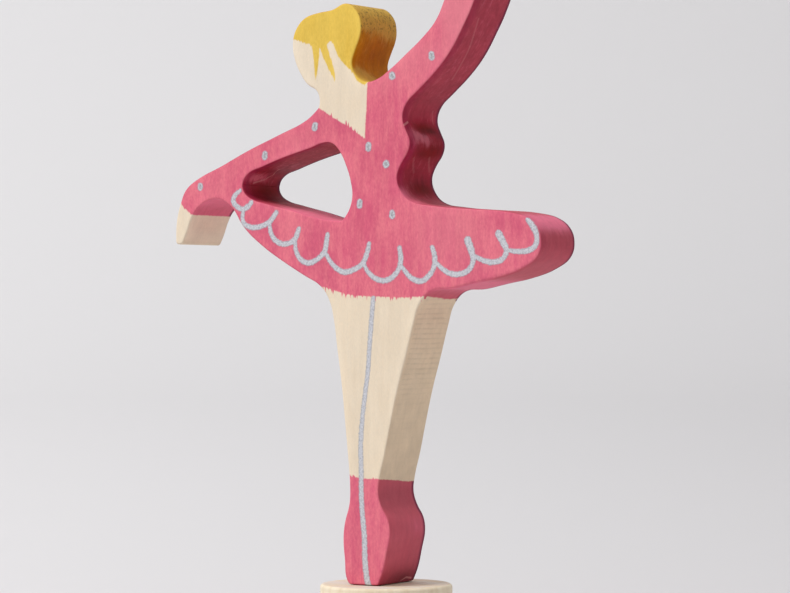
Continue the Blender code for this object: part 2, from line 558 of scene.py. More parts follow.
SCRATCHES = (
    Scratch(
        ((-21.07, 57.1, 2.7), (-20.8, 57.7, 5.4), (-20.06, 58.4, 6.5), (-18.15, 59.1, 5.1)),
        0.20, 0.5,
    ),
    Scratch(((5.9, 64.6, 0.1), (5.8, 65.05, 1.3)), 0.24, 0.45),
    Scratch(((1.6, 0.25, 6.0), (1.9, 0.65, 7.3), (1.8, 0.45, 8.8)), 0.22, 0.5),
    Scratch(
        (
            (16.16, 79.15, 3.1), (15.2, 77.4, 3.7), (14.04, 75.49, 4.4), (12.29, 73.17, 5.0),
            (10.36, 71.18, 5.9),
        ),
        0.32, 0.15,
    ),
    Scratch(((6.13, 60.07, 2.4), (5.5, 59.1, 3.3), (4.99, 58.15, 4.3)), 0.34, 0.12),
    Scratch(((6.24, 60.22, 6.5), (5.6, 59.3, 7.5), (5.11, 58.43, 8.5)), 0.34, 0.14),
    Scratch(((5.96, 66.84, 8.0), (5.73, 65.2, 8.5)), 0.3, 0.12),
)


def drop_strokes() -> list[Stroke]:
    """Makes each silver drop a short, fat stroke.

    Returns:
        The strokes.
    """
    found = []
    for across, up, width, height, lean in DROPS:
        reach = (height - width) / 2
        route = ((across - lean * reach, up - reach), (across + lean * reach, up + reach))
        found.append(Stroke(route, (width, width * DROP_TAPER)))
    return found


@dataclass(frozen=True)
class Paintwork:
    """Everything that is stained or painted on one face of the board."""

    face: Face

    def zones(self) -> dict[str, list[Zone]]:
        """Sorts the zones of this face by kind.

        Returns:
            The zones that keep the bare wood, and the zone of yellow stain.
        """
        hair = FRONT_HAIR if self.face is Face.FRONT else BACK_HAIR
        return {
            "bare": [CHEST_AND_HEAD, LOWERED_HAND, RAISED_HAND, UPPER_LEGS, LOWER_LEGS],
            "hair": [hair],
        }

    def hem(self) -> list[Stroke]:
        """Draws the loops along the skirt.

        Returns:
            The loops, without their tails on the back.
        """
        if self.face is Face.FRONT:
            plain = tuple(width * LOOP_WIDTH for width in HEM_WIDTHS)
            fat = (*plain[:-2], *FAT_TAIL_WIDTHS)
            return [
                Stroke(loop, fat if number in FAT_TAIL_LOOPS else plain)
                for number, loop in enumerate(HEM_LOOPS)
            ]
        return [Stroke(loop[:-1]) for loop in HEM_LOOPS]

    def seam(self) -> list[Stroke]:
        """Returns the line down the legs."""
        return [Stroke(LEG_SEAM, SEAM_WIDTHS)]

    def drops(self) -> list[Stroke]:
        """Returns the silver drops, which only the front has."""
        return drop_strokes() if self.face is Face.FRONT else []

    def silver(self) -> list[Stroke]:
        """Returns every silver stroke on this face."""
        return self.hem() + self.seam() + self.drops()

    def fine_lines(self) -> list[Line]:
        """Returns the lines that need a fine mesh to show their edge."""
        edges = [zone.edge() for kind in self.zones().values() for zone in kind]
        return edges + [stroke.line()[::4] for stroke in self.silver()]


# Shader maths


Input = Union["Value", float, Sequence[float]]
DULL_SPECULAR = 0.12


class Value:
    """A shader socket that Python's operators work on, each adding one Math node."""

    def __init__(self, recipe: "Recipe", socket: bpy.types.NodeSocket) -> None:
        """Wraps a socket.

        Args:
            recipe: The recipe whose nodes the socket belongs to.
            socket: The output socket.
        """
        self.recipe = recipe
        self.socket = socket

    def maths(self, operation: str, *terms: Input) -> "Value":
        """Adds a Math node on these terms."""
        return self.recipe.add("Math", {"operation": operation}, dict(enumerate(terms)))

    def __add__(self, other: Input) -> "Value":
        """Adds."""
        return self.maths("ADD", self, other)

    def __sub__(self, other: Input) -> "Value":
        """Subtracts."""
        return self.maths("SUBTRACT", self, other)

    def __rsub__(self, other: Input) -> "Value":
        """Subtracts this from a number."""
        return self.maths("SUBTRACT", other, self)

    def __mul__(self, other: Input) -> "Value":
        """Multiplies."""
        return self.maths("MULTIPLY", self, other)

    def __truediv__(self, other: Input) -> "Value":
        """Divides."""
        return self.maths("DIVIDE", self, other)

    def __neg__(self) -> "Value":
        """Changes the sign."""
        return self.maths("MULTIPLY", self, -1.0)

    __radd__ = __add__
    __rmul__ = __mul__

    def at_most(self, other: Input) -> "Value":
        """Returns the lesser of the two."""
        return self.maths("MINIMUM", self, other)

    def at_least(self, other: Input) -> "Value":
        """Returns the greater of the two."""
        return self.maths("MAXIMUM", self, other)

    def sine(self) -> "Value":
        """Takes the sine."""
        return self.maths("SINE", self)

    def run(self, low: float, high: float) -> "Value":
        """Runs smoothly from 0 where this is low to 1 where it is high.

        Args:
            low: Where the run starts.
            high: Where it ends.

        Returns:
            The run.
        """
        return self.recipe.add(
            "MapRange",
            {"interpolation_type": "SMOOTHSTEP"},
            {"Value": self, "From Min": low, "From Max": high},
        )


@dataclass(frozen=True)
class Grain:
    """A kind of noise: its changes in a millimetre of X, Y and Z, and its finer layers."""

    stretch: tuple[float, float, float]
    detail: float = 3.0
    rough: float = 0.55


class Recipe:
    """The nodes of one material, built up by name."""

    def __init__(self, name: str) -> None:
        """Starts an empty Principled material.

        Args:
            name: The material's name.
        """
        self.material = bpy.data.materials.new(name)
        self.material.use_nodes = True
        self.tree = self.material.node_tree
        self.shader = self.tree.nodes["Principled BSDF"]

    def plug(self, socket: bpy.types.NodeSocket, given: Input) -> None:
        """Links a value to an input socket, or writes a number or colour on it.

        Args:
            socket: The input socket.
            given: The value, number or colour.
        """
        if isinstance(given, Value):
            self.tree.links.new(given.socket, socket)
        elif isinstance(given, (int, float)):
            socket.default_value = given
        else:
            wanted = len(socket.default_value)
            socket.default_value = (*given, 1.0)[:wanted]

    def add(
        self,
        kind: str,
        settings: Optional[dict[str, Any]] = None,
        inputs: Optional[dict[Union[int, str], Input]] = None,
        output: Union[int, str] = 0,
    ) -> Value:
        """Adds one node.

        Args:
            kind: The node's type, without its ShaderNode prefix.
            settings: Its properties, such as a Math node's operation, set before its sockets.
            inputs: What goes into its sockets, by index or name.
            output: Which output to return.

        Returns:
            The chosen output.
        """
        node = self.tree.nodes.new("ShaderNode" + kind)
        for name, setting in (settings or {}).items():
            setattr(node, name, setting)
        for key, given in (inputs or {}).items():
            self.plug(node.inputs[key], given)
        return Value(self, node.outputs[output])

    def field(self, name: str) -> Value:
        """Reads a number that the mesh carries at each point."""
        return self.add("Attribute", {"attribute_name": name}, output="Fac")

    def place(self) -> Value:
        """Returns where a point is on the piece, in millimetres."""
        where = self.add("TexCoord", output="Object")
        return self.add("VectorMath", {"operation": "SCALE"}, {0: where, "Scale": 1 / MM})

    def grain(self, place: Value, kind: Grain) -> Value:
        """Returns noise about 0, stretched along the axes.

        Args:
            place: Where a point is, in millimetres.
            kind: The kind of noise.

        Returns:
            Noise from about -0.5 to 0.5.
        """
        spread = self.add("VectorMath", {"operation": "MULTIPLY"}, {0: place, 1: kind.stretch})
        settings = {"Scale": 1.0, "Detail": kind.detail, "Roughness": kind.rough}
        return self.add("TexNoise", None, {"Vector": spread, **settings}) - 0.5

    def blend(self, share: Input, first: Input, second: Input) -> Value:
        """Mixes two colours, all first where share is 0 and all second where it is 1."""
        settings = {"data_type": "RGBA"}
        return self.add("Mix", settings, {0: share, 6: first, 7: second}, output=2)

    def brighten(self, colour: Input, factor: Value) -> Value:
        """Multiplies a colour by a number at each point.

        Args:
            colour: The colour.
            factor: The number.

        Returns:
            The new colour.
        """
        grey = self.add("CombineColor", None, {0: factor, 1: factor, 2: factor})
        settings = {"data_type": "RGBA", "blend_type": "MULTIPLY"}
        return self.add("Mix", settings, {0: 1.0, 6: colour, 7: grey}, output=2)

    def finish(self, colour: Value, roughness: Input, height: Value, depth: float) -> None:
        """Feeds the shader.

        Args:
            colour: The base colour.
            roughness: The roughness.
            height: The relief, of about 1 in all.
            depth: How deep the relief is, in millimetres.
        """
        bump = self.add(
            "Bump", None, {"Height": height, "Distance": depth * MM, "Strength": 1.0}
        )
        self.plug(self.shader.inputs["Base Color"], colour)
        self.plug(self.shader.inputs["Roughness"], roughness)
        self.plug(self.shader.inputs["Normal"], bump)
        self.plug(self.shader.inputs["Specular IOR Level"], DULL_SPECULAR)


# The finishes


@dataclass(frozen=True)
class Stain:
    """A stain's colours on the faces and sawn walls, and a pale one for thin stain and painted
    light.
    """

    face: Colour
    streak: Colour
    faded: Colour
    wall: Colour
    wall_streak: Colour
    pale: Colour


PINK = Stain(
    face=from_screen(211, 92, 121),
    streak=from_screen(228, 123, 136),
    faded=from_screen(227, 130, 143),
    wall=from_screen(202, 95, 109),
    wall_streak=from_screen(190, 81, 96),
    pale=from_screen(224, 112, 138),
)
# Deep pink is the stain soaked deepest into the walls; where the deep field holds painted shade, it
# stands for that shade too.
DEEP_PINK = Stain(
    face=PINK.face,
    streak=PINK.streak,
    faded=PINK.faded,
    wall=from_screen(171, 46, 66),
    wall_streak=from_screen(146, 26, 48),
    pale=from_screen(192, 96, 112),
)
YELLOW = Stain(
    face=from_screen(208, 164, 52),
    streak=from_screen(235, 203, 98),
    faded=from_screen(227, 192, 86),
    wall=from_screen(203, 139, 0),
    wall_streak=from_screen(177, 106, 0),
    pale=from_screen(204, 166, 70),
)
BARE = Stain(
    face=from_screen(233, 218, 195),
    streak=from_screen(227, 210, 185),
    faded=from_screen(234, 220, 198),
    wall=from_screen(228, 207, 178),
    wall_streak=from_screen(220, 198, 168),
    pale=from_screen(234, 218, 194),
)


FIBRES = Grain((3.4, 3.4, 1.5), 4.0, 0.66)
STREAKS = Grain((1.3, 1.3, 0.26), 2.0)
CLOUDS = Grain((0.3, 0.3, 0.2), 2.0)
PORES = Grain((6.5, 6.5, 3.0), 2.0, 0.7)
BANDS = Grain((0.22, 1.1, 0.18), 3.0, 0.7)
DASHES = Grain((1.5, 1.1, 0.45), 3.0, 0.75)
BLOTCHES = Grain((0.45, 0.35, 0.45), 3.0, 0.6)
LANES = Grain((0.7, 0.7, 0.04), 3.0, 0.6)
BUN_DOTS = Grain((2.1, 2.1, 2.1), 2.0, 0.8)
STAIN_WAVES = Grain((1.6, 1.6, 1.1), 3.0, 0.7)
SHORT_TEETH = Grain((3.6, 1.4, 0.16), 2.0, 0.6)
LONG_TEETH = Grain((1.1, 1.0, 0.1), 1.0)
BLADE_SWAY = Grain((0.07, 0.12, 0.10), 1.0)
BLADE_CHATTER = Grain((0.25, 0.35, 0.8), 2.0, 0.7)
PAINT_EDGE = Grain((3.0, 3.0, 3.0), 4.0, 0.8)
PAINT_FLECKS = Grain((3.2, 3.2, 3.2), 4.0, 0.9)
TURNED_FIBRES = Grain((3.0, 3.0, 0.3), 4.0, 0.6)
TURNED_STREAKS = Grain((0.55, 0.55, 0.05), 2.0)
TURNED_PORES = Grain((6.0, 6.0, 0.5), 2.0)
YEAR_RINGS = Grain((0.12, 0.9, 0.02), 2.0)


@dataclass
class Timber:
    """The board's wood as its finish reads it: the mesh's fields, and noise along the grain."""

    recipe: Recipe
    thickness: float
    sole: float

    def __post_init__(self) -> None:
        """Reads what more than one layer of the finish needs."""
        self.place = self.recipe.place()
        self.wall = self.field("wall")
        # The deep field is stain depth, with painted shade and painted light in it.
        self.deep = self.field("deep")
        self.depth = self.deep.at_least(0.0).at_most(1.0)
        self.inward = self.axis(1) + self.thickness / 2
        self.fine = self.grain(FIBRES)
        self.clouds = self.grain(CLOUDS)
        self.pores = self.grain(PORES)
        self.bands = self.grain(BANDS)
        self.dashes = self.grain(DASHES) * self.wall
        self.waves = self.grain(STAIN_WAVES)
        self.short_teeth = self.grain(SHORT_TEETH)
        self.long_teeth = self.grain(LONG_TEETH)
        self.fibres_show = 1.0 - self.wall * 0.8
        self.streak = self.streaked()
        self.pale = self.thin_stain_and_painted_light()

    def field(self, name: str) -> Value:
        """Reads a number that the mesh carries at each point."""
        return self.recipe.field(name)

    def grain(self, kind: Grain) -> Value:
        """Returns one kind of noise."""
        return self.recipe.grain(self.place, kind)

    def axis(self, number: int) -> Value:
        """Returns where a point is along X, Y or Z, in millimetres."""
        return self.recipe.add("SeparateXYZ", None, {0: self.place}, output=number)

    def streaked(self) -> Value:
        """Mixes the wood's streaks, which are weaker on the walls.

        Returns:
            How streaked it is, from 0 to 1.
        """
        fibres = self.fine * (0.9 - self.wall * 0.7)
        streaks = self.grain(STREAKS) * (0.9 - self.wall * 0.4)
        return (0.5 + fibres + streaks + self.clouds * 0.6).run(0.08, 0.92)

    def thin_stain_and_painted_light(self) -> Value:
        """Mixes the places where the stain went on thinly, and the painted light on the walls.

        Returns:
            How pale they are, from 0 to 1.
        """
        bands = self.bands * (0.5 + self.depth * 1.1)
        pale = self.field("pale") * 1.3 + bands + self.dashes * self.depth * 1.4
        return pale.run(0.12, 1.0)


@dataclass(frozen=True)
class PaintedLimewood:
    """Straight-grained limewood, part bare and part stained, with silver paint on it.

    A number whose name ends in shade is how much something lightens or darkens the wood. Where it
    is a pair, the second is what the deep field adds, which is deep stain and painted shade in the
    recesses.
    """

    feather: float = 3.2
    edge_softness: float = 0.05
    edge_fringe: float = 0.16
    edge_waves: float = 0.26
    hair_creep: float = -0.5
    # Painted shade: the stain darker and redder at the bottoms of the recesses.
    deepest_stain_in_shade: Colour = from_screen(130, 2, 12)
    rim_stain: Colour = from_screen(156, 30, 68)
    near_rim_cover: float = 0.75
    edge_stain: Colour = from_screen(98, 16, 58)
    far_rim_cover: float = 0.85
    fibre_shade: float = 0.22
    lane_shade: float = 0.18
    cloud_shade: float = 0.12
    pore_shade: float = 0.14
    wear_shade: float = 0.04
    saw_shade: float = 0.14
    blotch_shade: tuple[float, float] = (0.24, 0.22)
    dash_shade: tuple[float, float] = (0.14, 0.6)
    dot_shade: float = 0.52
    bun_top: tuple[float, float] = (84.5, 87.5)
    saw_step: float = 0.70
    saw_sway: float = 6.0
    saw_chatter: float = 3.4
    scratch: Colour = from_screen(222, 150, 150)
    silver: Colour = from_screen(215, 216, 221)
    silver_shade: Colour = from_screen(138, 141, 152)
    silver_edge: Colour = from_screen(104, 108, 124)
    silver_edge_cover: float = 0.42
    # Painted shade: the darker middle of each silver drop's dome.
    drop_painted_shade: Colour = from_screen(112, 118, 114)
    drop_painted_shade_cover: float = 0.45
    silver_metal: float = 0.25
    roughness: float = 0.62
    relief_depth: float = 0.035

    def stained(self, wood: Timber, stain: Stain) -> Value:
        """Mixes one stain's colours by how sawn the surface is and how streaked the wood.

        Args:
            wood: The board's wood.
            stain: The stain.

        Returns:
            The colour.
        """
        blend = wood.recipe.blend
        on_face = blend(wood.streak, stain.face, stain.streak)
        on_face = blend(wood.field("faded"), on_face, stain.faded)
        on_wall = blend(wood.streak, stain.wall, stain.wall_streak)
        # The pale colour shows thin stain and painted light on the walls.
        on_wall = blend(wood.pale, on_wall, stain.pale)
        return blend(wood.wall, on_face, on_wall)

    def covered(self, wood: Timber, name: str, creep: float) -> Value:
        """Returns 1 inside a kind of zone and 0 outside, with an edge that follows the grain.

        Args:
            wood: The board's wood.
            name: The kind of zone.
            creep: How far the stain round it creeps in along the fibres, below 0 if it creeps out.

        Returns:
            The zone's cover.
        """
        longest = (wood.short_teeth + wood.long_teeth * 0.6 - 0.01).at_least(0.0)
        teeth = longest * self.feather + wood.short_teeth * 0.4
        edge = wood.field(name) + teeth * wood.field(name + "_feather") * creep
        edge = edge + wood.waves * self.edge_waves - wood.field("crept") * wood.wall
        return 1.0 - edge.run(-self.edge_fringe, self.edge_softness)

    def coloured(self, wood: Timber, hair: Value) -> Value:
        """Lays each stain where it belongs.

        Args:
            wood: The board's wood.
            hair: Where the hair is.

        Returns:
            The colour.
        """
        blend = wood.recipe.blend
        end = wood.thickness
        near_rim = 1.0 - (wood.inward + wood.bands * 1.8).run(0.9, 2.3)
        far_rim = (wood.inward + wood.bands * 0.8).run(end - 1.1, end - 0.3)
        deep_pink = self.stained(wood, DEEP_PINK)
        # Above 1 the deep field runs into the deepest colour, which is painted shade in the
        # recesses.
        deep_pink = blend((wood.deep - 1.0).run(-0.2, 1.0), deep_pink, self.deepest_stain_in_shade)
        colour = blend(wood.depth, self.stained(wood, PINK), deep_pink)
        near_cover = near_rim * wood.wall * wood.depth * self.near_rim_cover
        colour = blend(near_cover, colour, self.rim_stain)
        colour = blend(far_rim * wood.wall * self.far_rim_cover, colour, self.edge_stain)
        colour = blend(self.covered(wood, "bare", 1.0), colour, self.stained(wood, BARE))
        return blend(hair, colour, self.stained(wood, YELLOW))

    def saw_marks(self, wood: Timber) -> Value:
        """Draws the thin wavy lines that the blade left across the board's walls.

        Args:
            wood: The board's wood.

        Returns:
            The lines, below 0 where the blade cut.
        """
        sway = wood.grain(BLADE_SWAY) * self.saw_sway
        angle = wood.axis(2) * (2 * math.pi / self.saw_step) + sway
        lines = (angle.sine() + wood.grain(BLADE_CHATTER) * self.saw_chatter).run(-0.1, 1.6)
        fresh = wood.inward.run(0.2, 0.9) * (1.0 - wood.inward.run(6.0, 10.0) * 0.5)
        return -lines * fresh * wood.field("sawn") * wood.wall

    def deepened(self, wood: Timber, shade: tuple[float, float]) -> Value:
        """Returns a strength that is greater in deep stain and painted shade."""
        return shade[0] + wood.depth * shade[1]

    def shade(self, wood: Timber, saw: Value, hair: Value) -> Value:
        """Returns how light the wood is, about 1, with the painted light and shade on the walls.

        Args:
            wood: The board's wood.
            saw: The saw marks.
            hair: Where the hair is.

        Returns:
            What the colour is multiplied by.
        """
        shade = 1.0 + wood.fine * self.fibre_shade * wood.fibres_show
        shade = shade + wood.grain(LANES) * self.lane_shade + wood.clouds * self.cloud_shade
        shade = shade + wood.pores * self.pore_shade + wood.field("rim_wear") * self.wear_shade
        # The light field is painted light and shade on the walls.
        shade = shade + saw * self.saw_shade + wood.field("light") * wood.wall
        blotches = wood.grain(BLOTCHES) * wood.wall
        shade = shade + blotches * self.deepened(wood, self.blotch_shade)
        shade = shade + wood.dashes * self.deepened(wood, self.dash_shade)
        dots = wood.grain(BUN_DOTS).run(0.02, 0.15) * wood.axis(2).run(*self.bun_top)
        return shade - dots * hair * wood.wall * self.dot_shade

    def scratched(self, wood: Timber) -> Value:
        """Draws the thin pale scratches.

        Args:
            wood: The board's wood.

        Returns:
            How far they cover the wood.
        """
        def vector(operation: str, inputs: dict[Union[int, str], Input], output: int = 0) -> Value:
            """Adds a Vector Math node."""
            return wood.recipe.add("VectorMath", {"operation": operation}, inputs, output)

        marks = []
        for scratch in SCRATCHES:
            points = [
                Vector((across, inward - wood.thickness / 2, up + wood.sole))
                for across, up, inward in scratch.route
            ]
            for start, end in zip(points, points[1:]):
                way = end - start
                offset = vector("SUBTRACT", {0: wood.place, 1: tuple(start)})
                share = vector("DOT_PRODUCT", {0: offset, 1: tuple(way)}, 1) / way.length_squared
                share = share.at_least(0.0).at_most(1.0)
                along = vector("SCALE", {0: tuple(way), "Scale": share})
                gap = vector("LENGTH", {0: vector("SUBTRACT", {0: offset, 1: along})}, 1)
                line = 1.0 - gap.run(scratch.width * 0.3, scratch.width)
                marks.append(line * scratch.strength)
        return reduce(Value.at_least, marks)

    def silvered(self, wood: Timber, colour: Value) -> tuple[Value, Value]:
        """Lays the silver paint over a colour.

        Args:
            wood: The board's wood.
            colour: The colour below the paint.

        Returns:
            The new colour, and how far the paint covers the wood.
        """
        blend = wood.recipe.blend
        drop = wood.field("drop")
        wobble = 0.60 - 0.14 * (1.0 - drop.run(0.2, 0.6))
        edge = wood.field("silver") + wood.grain(PAINT_EDGE) * wobble
        flecks = wood.grain(PAINT_FLECKS)
        metal = blend((0.70 + flecks * 2.8).run(0.0, 1.0), self.silver_shade, self.silver)
        metal = blend(edge.run(-0.18, 0.0) * self.silver_edge_cover, metal, self.silver_edge)
        # Each drop's darker middle is painted shade on its dome.
        middle = 1.0 - (drop + flecks * 0.5).run(-0.40, -0.20)
        metal = blend(middle * self.drop_painted_shade_cover, metal, self.drop_painted_shade)
        cover = (1.0 - edge.run(-0.10, 0.09)) * ((0.62 + flecks * 2.0).run(0.0, 0.45) * 0.3 + 0.7)
        return blend(cover, colour, metal), cover

    def make(self, thickness: float, sole: float) -> bpy.types.Material:
        """Builds the material that reads the dancer's fields.

        Args:
            thickness: How thick the board is, in millimetres.
            sole: The height of the sole, in millimetres.

        Returns:
            The material.
        """
        recipe = Recipe("painted_limewood")
        wood = Timber(recipe, thickness, sole)
        hair = self.covered(wood, "hair", self.hair_creep)
        saw = self.saw_marks(wood)
        colour = recipe.brighten(self.coloured(wood, hair), self.shade(wood, saw, hair))
        colour = recipe.blend(self.scratched(wood), colour, self.scratch)
        colour, cover = self.silvered(wood, colour)
        roughness = self.roughness + wood.fine * 0.16 - cover * 0.2
        relief = wood.fine * 0.4 * wood.fibres_show + wood.pores * 0.15 + saw * 0.5 + cover * 0.6
        recipe.finish(colour, roughness, relief, self.relief_depth)
        recipe.plug(recipe.shader.inputs["Metallic"], cover * self.silver_metal)
        return recipe.material


@dataclass(frozen=True)
class TurnedLimewood:
    """Pale turned wood with its grain standing upright, so its top shows end grain."""

    wood: Colour = from_screen(235, 222, 197)
    late_wood: Colour = from_screen(220, 202, 173)
    top_wood: Colour = from_screen(218, 210, 200)
    fibre_shade: float = 0.12
    pore_shade: float = 0.08
    roughness: float = 0.62
    relief_depth: float = 0.03

    def make(self) -> bpy.types.Material:
        """Builds the material that reads the disc's field.

        Returns:
            The material.
        """
        recipe = Recipe("turned_limewood")
        place = recipe.place()
        fine = recipe.grain(place, TURNED_FIBRES)
        pores = recipe.grain(place, TURNED_PORES)
        late = (0.5 + recipe.grain(place, TURNED_STREAKS) * 1.4 + fine * 0.8).run(0.1, 0.9)
        side = recipe.blend(late, self.wood, self.late_wood)
        rings = (0.5 + recipe.grain(place, YEAR_RINGS) * 2.0).run(0.2, 0.8)
        end_grain = recipe.blend(rings, self.top_wood, self.late_wood)
        colour = recipe.blend(recipe.field("top"), side, end_grain)
        shade = 1.0 + fine * self.fibre_shade + pores * self.pore_shade
        roughness = self.roughness + pores * 0.2
        relief = fine * 0.5 + pores * 0.4
        recipe.finish(recipe.brighten(colour, shade), roughness, relief, self.relief_depth)
        return recipe.material


# The pieces


def new_piece(
    name: str, points: Iterable[Sequence[float]], faces: list[Sequence[int]]
) -> bpy.types.Object:
    """Makes a smooth-shaded mesh object.

    Args:
        name: The piece's name.
        points: Its points, in metres.
        faces: Its faces, as lists of point numbers.

    Returns:
        The object, in the scene.
    """
    mesh = bpy.data.meshes.new(name)
    mesh.from_pydata(list(points), [], faces)
    mesh.validate()
    mesh.shade_smooth()
    piece = bpy.data.objects.new(name, mesh)
    bpy.context.scene.collection.objects.link(piece)
    return piece


def write_field(piece: bpy.types.Object, name: str, values: np.ndarray) -> None:
    """Stores one number at each of a piece's points."""
    stored = piece.data.attributes.new(name, "FLOAT", "POINT")
    stored.data.foreach_set("value", values.astype(np.float32))


def turned_faces(steps: int, rings: int) -> list[Sequence[int]]:
    """Joins a middle point, numbered 0, and the rings round it into faces.

    Args:
        steps: How many points each ring has.
        rings: How many rings follow the middle point.

    Returns:
        The faces, as lists of point numbers.
    """
    faces: list[Sequence[int]] = []
    for step in range(steps):
        ahead = (step + 1) % steps
        faces.append((0, 1 + step, 1 + ahead))
        for row in range(rings - 1):
            near, far = 1 + row * steps, 1 + (row + 1) * steps
            faces.append((near + step, far + step, far + ahead, near + ahead))
    return faces


@dataclass
class SawCuts:
    """The closed lines that the board was sawn along, read from the CAD solid's walls."""

    node: str
    least_reach: float = 5.0
    least_step: float = 0.1
    level: float = 0.01
    spacing: float = 0.24
    corner: float = math.radians(38)
    softening: int = 2
    loops: list[Line] = field(default_factory=list)

    def wall_links(self) -> dict[Point, set[Point]]:
        """Finds which posts of the faceted walls stand side by side.

        Returns:
            For each post, the posts beside it.
        """
        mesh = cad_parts[self.node].data
        links: dict[Point, set[Point]] = {}
        for face in mesh.polygons:
            corners = [mesh.vertices[index].co for index in face.vertices]
            levels = [corner.y for corner in corners]
            if max(levels) - min(levels) < self.least_reach * MM:
                continue
            for start, end in zip(corners, corners[1:] + corners[:1]):
                ends = [(round(p.x / MM, 4), round(p.z / MM, 4)) for p in (start, end)]
                if abs(start.y - end.y) < self.level * MM and ends[0] != ends[1]:
                    links.setdefault(ends[0], set()).add(ends[1])
                    links.setdefault(ends[1], set()).add(ends[0])
        return links

    def chains(self) -> list[Line]:
        """Follows the posts round each closed line.

        Returns:
            The lines, the widest first.
        """
        links = self.wall_links()
        found = []
        while links:
            chain = [min(links)]
            ahead = links.pop(chain[0])
            while ahead & links.keys():
                chain.append(min(ahead & links.keys()))
                ahead = links.pop(chain[-1])
            found.append(np.array(chain))
        loops = [chain for chain in found if len(chain) > 2]
        return sorted(loops, key=lambda loop: -np.ptp(loop[:, 0]))

    def apart(self, chain: Line) -> Line:
        """Drops each post that stands almost on the one before it."""
        steps = np.linalg.norm(chain - np.roll(chain, 1, axis=0), axis=1)
        return chain[steps > self.least_step]

    def smoothed(self, chain: Line) -> Line:
        """Rounds a faceted loop out between its corners.

        Args:
            chain: The loop's posts in order.

        Returns:
            The rounded loop.
        """
        ways = np.roll(chain, -1, axis=0) - chain
        turns = np.arctan2(ways[:, 1], ways[:, 0])
        turns = np.abs((turns - np.roll(turns, 1) + math.pi) % (2 * math.pi) - math.pi)
        corners = np.flatnonzero(turns > self.corner)
        chain = np.roll(chain, -corners[0], axis=0)
        stops = [*(corners - corners[0]), len(chain)]
        closed = np.vstack([chain, chain[:1]])
        stretches = [
            smooth_through(closed[first:last + 1], self.spacing)[:-1]
            for first, last in zip(stops, stops[1:])
        ]
        loop = np.vstack(stretches)
        for _ in range(self.softening):
            loop = (np.roll(loop, 1, axis=0) + 2 * loop + np.roll(loop, -1, axis=0)) / 4
        return loop

    def read(self, sole: float) -> None:
        """Fills loops, in millimetres above the sole: the outline anticlockwise, holes clockwise.

        Args:
            sole: The height of the sole, in millimetres.
        """
        for number, chain in enumerate(self.chains()):
            loop = self.smoothed(self.apart(chain) - [0.0, sole])
            ahead = np.roll(loop, -1, axis=0)
            area = (loop[:, 0] * ahead[:, 1] - ahead[:, 0] * loop[:, 1]).sum()
            wanted = 1 if number == 0 else -1
            self.loops.append(loop if area * wanted > 0 else loop[::-1])

    def inward(self, loop: Line) -> Line:
        """Finds the way into the wood all round a loop.

        Args:
            loop: The loop.

        Returns:
            The way at each of its points, of length 1.
        """
        ways = np.roll(loop, -1, axis=0) - np.roll(loop, 1, axis=0)
        left = np.column_stack([-ways[:, 1], ways[:, 0]])
        return left / np.linalg.norm(left, axis=1, keepdims=True)

    def depth(self, points: Line) -> np.ndarray:
        """Measures how far points are from the nearest saw cut."""
        return np.min([distance_to(loop, points) for loop in self.loops], axis=0)


